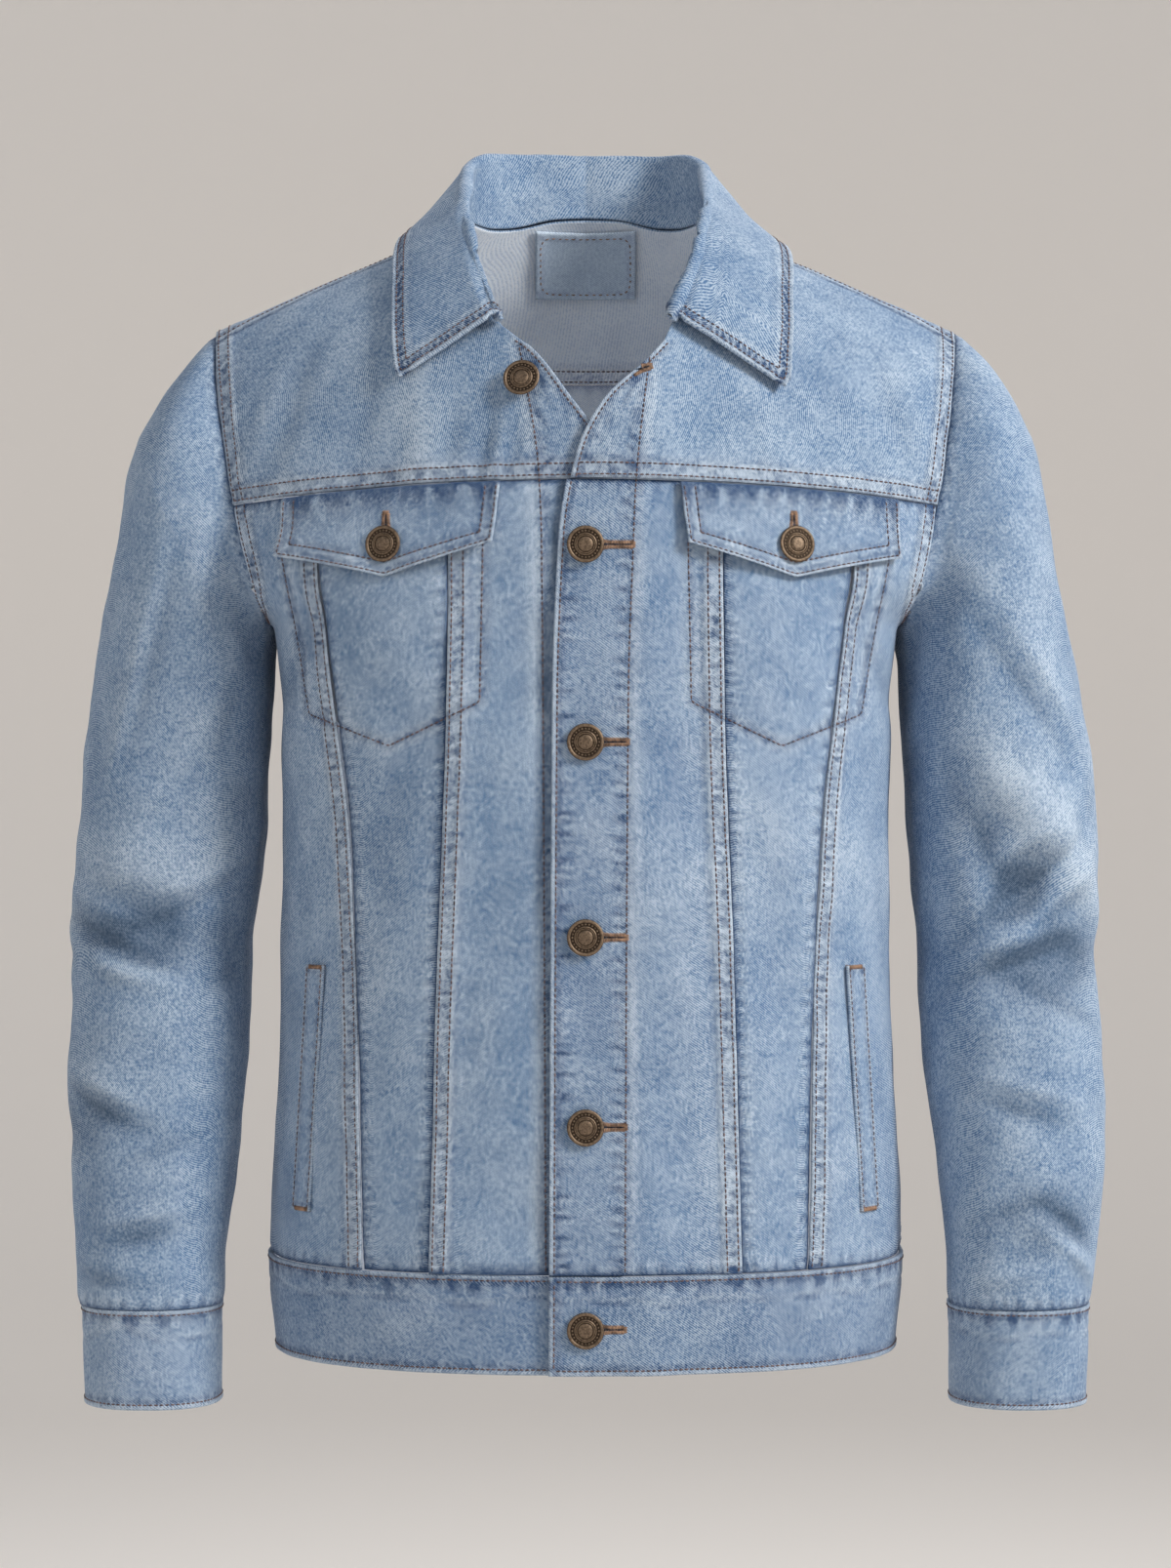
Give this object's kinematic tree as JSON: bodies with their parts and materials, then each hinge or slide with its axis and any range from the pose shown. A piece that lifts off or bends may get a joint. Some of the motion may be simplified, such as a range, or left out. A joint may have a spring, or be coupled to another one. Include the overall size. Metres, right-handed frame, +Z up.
{
  "type": "denim jacket",
  "caption": "Long-sleeved waist-length denim jacket in a light stone wash, with a turn-down collar, flapped chest pockets and a buttoned front, filled out as if worn",
  "frame": {"origin": "between the shoulders at the base of the neck, on the mid-plane of the jacket and in line with the shoulder seams", "axes": "+Z up, -Y towards the front of the jacket, +X towards the wearer's left"},
  "size_m": [0.598, 0.2768, 0.7339],
  "materials": {
    "denim": "light stone-washed cotton twill, worn pale along its seams",
    "buttons": "antiqued brass, darkened in its hollows"
  },
  "bodies": {
    "root": {"front_yoke_left": "denim", "front_centre_left": "denim", "front_middle_left": "denim", "front_side_left": "denim", "back_side_left": "denim", "sleeve_upper_left": "denim", "sleeve_under_left": "denim", "cuff_left": "denim", "pocket_flap_left": "denim", "chest_pocket_left": "denim", "pocket_welt_left": "denim", "front_yoke_right": "denim", "front_centre_right": "denim", "front_middle_right": "denim", "front_side_right": "denim", "back_side_right": "denim", "sleeve_upper_right": "denim", "sleeve_under_right": "denim", "cuff_right": "denim", "pocket_flap_right": "denim", "chest_pocket_right": "denim", "pocket_welt_right": "denim", "back_yoke": "denim", "back_centre": "denim", "waistband": "denim", "collar": "denim", "neck_patch": "denim", "button_front_1": "buttons", "button_front_2": "buttons", "button_front_3": "buttons", "button_front_4": "buttons", "button_front_5": "buttons", "button_front_6": "buttons", "button_flap_left": "buttons", "button_flap_right": "buttons"}
  },
  "joints": []
}
